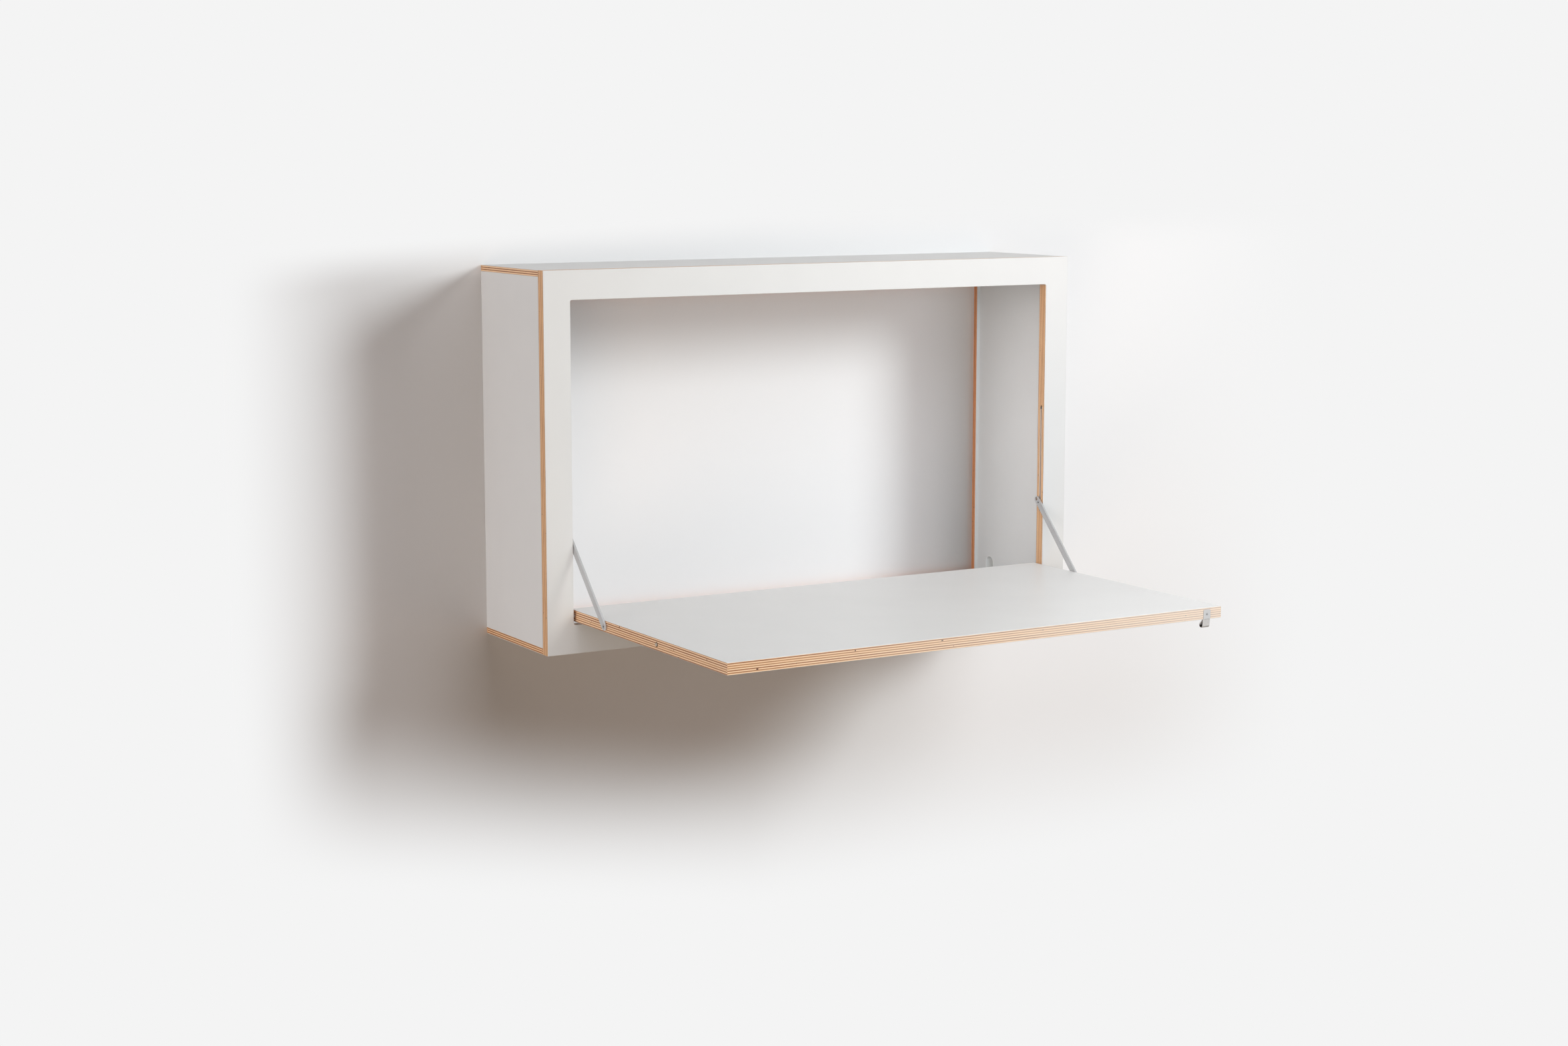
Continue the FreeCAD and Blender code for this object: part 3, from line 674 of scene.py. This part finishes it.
WALL_GAP = 0.0002                         # behind the casing's back
WALL_REACH = 6.0
WALL_WHITE = 0.88
WALL_BOUNCE = (0.85, 0.35)                # share of its light that goes back to the desk, low and high
BOUNCE_HEIGHT = (0.30, 0.34)              # where the low part ends and the high part starts
BACKDROP = 0.905
SHADED_LEFT = (-0.932, -0.691)            # X where the shading starts, and where it is full
SHADED_RIGHT = (1.306, 0.743)
SHADED_BELOW = (-0.84, -0.51)             # the same along Z
SHADED_ABOVE = (0.385, 0.305)
LEAN_BELOW = 0.19                         # how much the lower edge climbs for its run to the left
LEAN_ABOVE = -0.05                        # the same for the upper edge
wall_mesh = bpy.data.meshes.new("wall")
wall_mesh.from_pydata([(-WALL_REACH, WALL_GAP, -WALL_REACH), (WALL_REACH, WALL_GAP, -WALL_REACH),
                       (WALL_REACH, WALL_GAP, WALL_REACH), (-WALL_REACH, WALL_GAP, WALL_REACH)],
                      [], [(0, 1, 2, 3)])
wall = bpy.data.objects.new("wall", wall_mesh)
bpy.context.scene.collection.objects.link(wall)


def seen_directly(tree):
    """1 for what the camera sees, straight or in metal, and 0 for the light that falls on things."""
    path = add(tree, "LightPath").outputs
    sharp = calc(tree, "MAXIMUM", path["Is Glossy Ray"], path["Is Transmission Ray"])
    return calc(tree, "MAXIMUM", path["Is Camera Ray"], sharp)


def mix_shaders(tree, amount, first, second):
    """First shader where amount is 0, and second where it is 1."""
    return add(tree, "MixShader", {0: amount, 1: first, 2: second}).outputs[0]


def make_wall_paint():
    """Matt white paint, shaded near the desk and an even white further off."""
    material, tree, shader = new_material("wall_paint")
    spot = add(tree, "SeparateXYZ", {0: add(tree, "TexCoord").outputs["Object"]}).outputs
    bounce = blend_number(tree, ramp(tree, spot["Z"], *BOUNCE_HEIGHT), *WALL_BOUNCE)
    shade = blend_number(tree, seen_directly(tree), bounce, WALL_WHITE)
    feed(tree, shader, {"Base Color": shade, "Roughness": 0.9, "Specular IOR Level": 0.0})
    left = calc(tree, "MINIMUM", spot["X"], 0.0)
    lower = calc(tree, "ADD", spot["Z"], calc(tree, "MULTIPLY", left, LEAN_BELOW))
    upper = calc(tree, "ADD", spot["Z"], calc(tree, "MULTIPLY", left, LEAN_ABOVE))
    shaded = 1.0
    for place, edge in ((spot["X"], SHADED_LEFT), (spot["X"], SHADED_RIGHT), (lower, SHADED_BELOW),
                        (upper, SHADED_ABOVE)):
        shaded = calc(tree, "MULTIPLY", shaded, ramp(tree, place, *edge))
    even = calc(tree, "MULTIPLY", calc(tree, "SUBTRACT", 1.0, shaded), seen_directly(tree))
    glow = add(tree, "Emission", {"Color": (1, 1, 1, 1), "Strength": BACKDROP})
    paint_seen = mix_shaders(tree, even, shader.outputs[0], glow.outputs[0])
    in_gap = calc(tree, "LESS_THAN", add(tree, "LightPath").outputs["Ray Length"], 3 * WALL_GAP)
    open_side = calc(tree, "MAXIMUM", in_gap, add(tree, "NewGeometry").outputs["Backfacing"])
    surface = mix_shaders(tree, open_side, paint_seen, add(tree, "BsdfTransparent").outputs[0])
    feed(tree, tree.nodes["Material Output"], {"Surface": surface})
    return material


wall_mesh.materials.append(make_wall_paint())

# ---- Lamps
# A large soft lamp stands on the right, in front of the desk, and weaker ones fill the shadows.
# Flags keep the desk's lamps off the wall, and the wall's off the desk.


def lit_by_own_lamps(name, state):
    """Collection for a lamp that lights only the wall, or all but the wall."""
    group = bpy.data.collections.new(name)
    group.objects.link(wall)
    group.collection_objects[0].light_linking.link_state = state
    return group


WALL_ALONE = lit_by_own_lamps("wall_alone", "INCLUDE")
DESK_ALONE = lit_by_own_lamps("desk_alone", "EXCLUDE")
AIM = Vector((0, -0.2, 0))
FAR_AWAY = 5.0


def direction_from_desk(azimuth, elevation):
    """Direction in degrees, with the azimuth from the front towards +X."""
    turn, rise = math.radians(azimuth), math.radians(elevation)
    return Vector((math.sin(turn) * math.cos(rise), -math.cos(turn) * math.cos(rise), math.sin(rise)))


def place_lamp(name, data, lights, azimuth, elevation, distance, colour):
    """Puts a lamp that shines at the desk.  It shows neither to the camera nor as glare."""
    data.color = colour
    made = bpy.data.objects.new(name, data)
    bpy.context.scene.collection.objects.link(made)
    source = direction_from_desk(azimuth, elevation)
    made.location = AIM + source * distance
    made.rotation_euler = (-source).to_track_quat("-Z", "Y").to_euler()
    made.visible_camera = False
    made.visible_glossy = False
    made.light_linking.receiver_collection = lights


def far_lamp(name, lights, azimuth, elevation, spread, level, colour):
    """Very large lamp far away.  At level 1 a surface that faces it shows its own colour."""
    data = bpy.data.lights.new(name, "SUN")
    data.energy = level * math.pi
    data.angle = math.radians(spread)
    place_lamp(name, data, lights, azimuth, elevation, FAR_AWAY, colour)


def soft_box(name, lights, azimuth, elevation, distance, size, level, colour):
    """Round soft box, with the same level where the desk is."""
    data = bpy.data.lights.new(name, "AREA")
    data.shape = "DISK"
    data.size = size
    data.energy = level * (math.pi * distance) ** 2
    place_lamp(name, data, lights, azimuth, elevation, distance, colour)


soft_box("desk_front", DESK_ALONE, azimuth=10, elevation=14, distance=1.6, size=0.8, level=0.14,
         colour=(0.74, 0.97, 1.0))
soft_box("desk_key", DESK_ALONE, azimuth=45, elevation=12, distance=1.6, size=0.8, level=0.14,
         colour=(0.70, 0.81, 1.0))
soft_box("desk_high", DESK_ALONE, azimuth=28, elevation=30, distance=1.6, size=0.8, level=0.37,
         colour=(1.0, 0.93, 0.87))
soft_box("desk_wide", DESK_ALONE, azimuth=-12, elevation=14, distance=3.06, size=1.6, level=0.31,
         colour=(0.92, 0.95, 1.0))
far_lamp("desk_left", DESK_ALONE, azimuth=-75, elevation=20, spread=35, level=0.24,
         colour=(0.90, 0.95, 1.0))
far_lamp("desk_low_left", DESK_ALONE, azimuth=-75, elevation=3, spread=35, level=0.33,
         colour=(1.0, 0.90, 0.87))
far_lamp("desk_right", DESK_ALONE, azimuth=82, elevation=12, spread=35, level=0.14,
         colour=(1.0, 0.90, 0.78))
far_lamp("desk_top", DESK_ALONE, azimuth=0, elevation=74, spread=20, level=0.21,
         colour=(1.0, 0.98, 0.99))
far_lamp("desk_floor", DESK_ALONE, azimuth=-15, elevation=-42, spread=35, level=0.22,
         colour=(1.0, 0.71, 0.45))
far_lamp("desk_back", DESK_ALONE, azimuth=155, elevation=20, spread=60, level=0.5,
         colour=(1.0, 1.0, 1.0))
soft_box("wall_key", WALL_ALONE, azimuth=42, elevation=22, distance=4.0, size=1.4, level=0.66,
         colour=(0.93, 0.98, 1.0))
soft_box("wall_near", WALL_ALONE, azimuth=28, elevation=8, distance=1.6, size=0.8, level=0.205,
         colour=(1.0, 0.95, 0.98))
soft_box("wall_low_left", WALL_ALONE, azimuth=-40, elevation=-17, distance=4.08, size=1.6, level=0.155,
         colour=(1.0, 0.76, 0.60))
soft_box("wall_low_right", WALL_ALONE, azimuth=54, elevation=-28, distance=2.52, size=1.6, level=0.085,
         colour=(1.0, 0.70, 0.46))
far_lamp("wall_high", WALL_ALONE, azimuth=15, elevation=40, spread=35, level=0.195,
         colour=(0.98, 0.98, 1.0))

ROOM_LEVEL = 0.03


def make_room():
    """Dim room that looks white in a picture and in metal."""
    world = bpy.data.worlds.new("room")
    world.use_nodes = True
    tree = world.node_tree
    dim = tree.nodes["Background"]
    feed(tree, dim, {"Color": (1, 1, 1, 1), "Strength": ROOM_LEVEL})
    white = add(tree, "Background", {"Color": (1, 1, 1, 1), "Strength": BACKDROP})
    room = mix_shaders(tree, seen_directly(tree), dim.outputs[0], white.outputs[0])
    feed(tree, tree.nodes["World Output"], {"Surface": room})
    return world


bpy.context.scene.world = make_room()

# ---- Camera
# It stands to the left of the desk and looks slightly down on it, through a lens that is a little
# longer than a normal one, so that the casing keeps its shape.

camera_data = bpy.data.cameras.new("camera")
camera_data.lens = 59.65
camera_data.sensor_width = 36.0
camera = bpy.data.objects.new("camera", camera_data)
bpy.context.scene.collection.objects.link(camera)
camera.location = (-2.2190, -3.8633, 0.5017)
view = -direction_from_desk(azimuth=-30.616, elevation=8.303)
camera.rotation_euler = view.to_track_quat("-Z", "Y").to_euler()
bpy.context.scene.camera = camera
bpy.context.scene.view_settings.view_transform = "Standard"
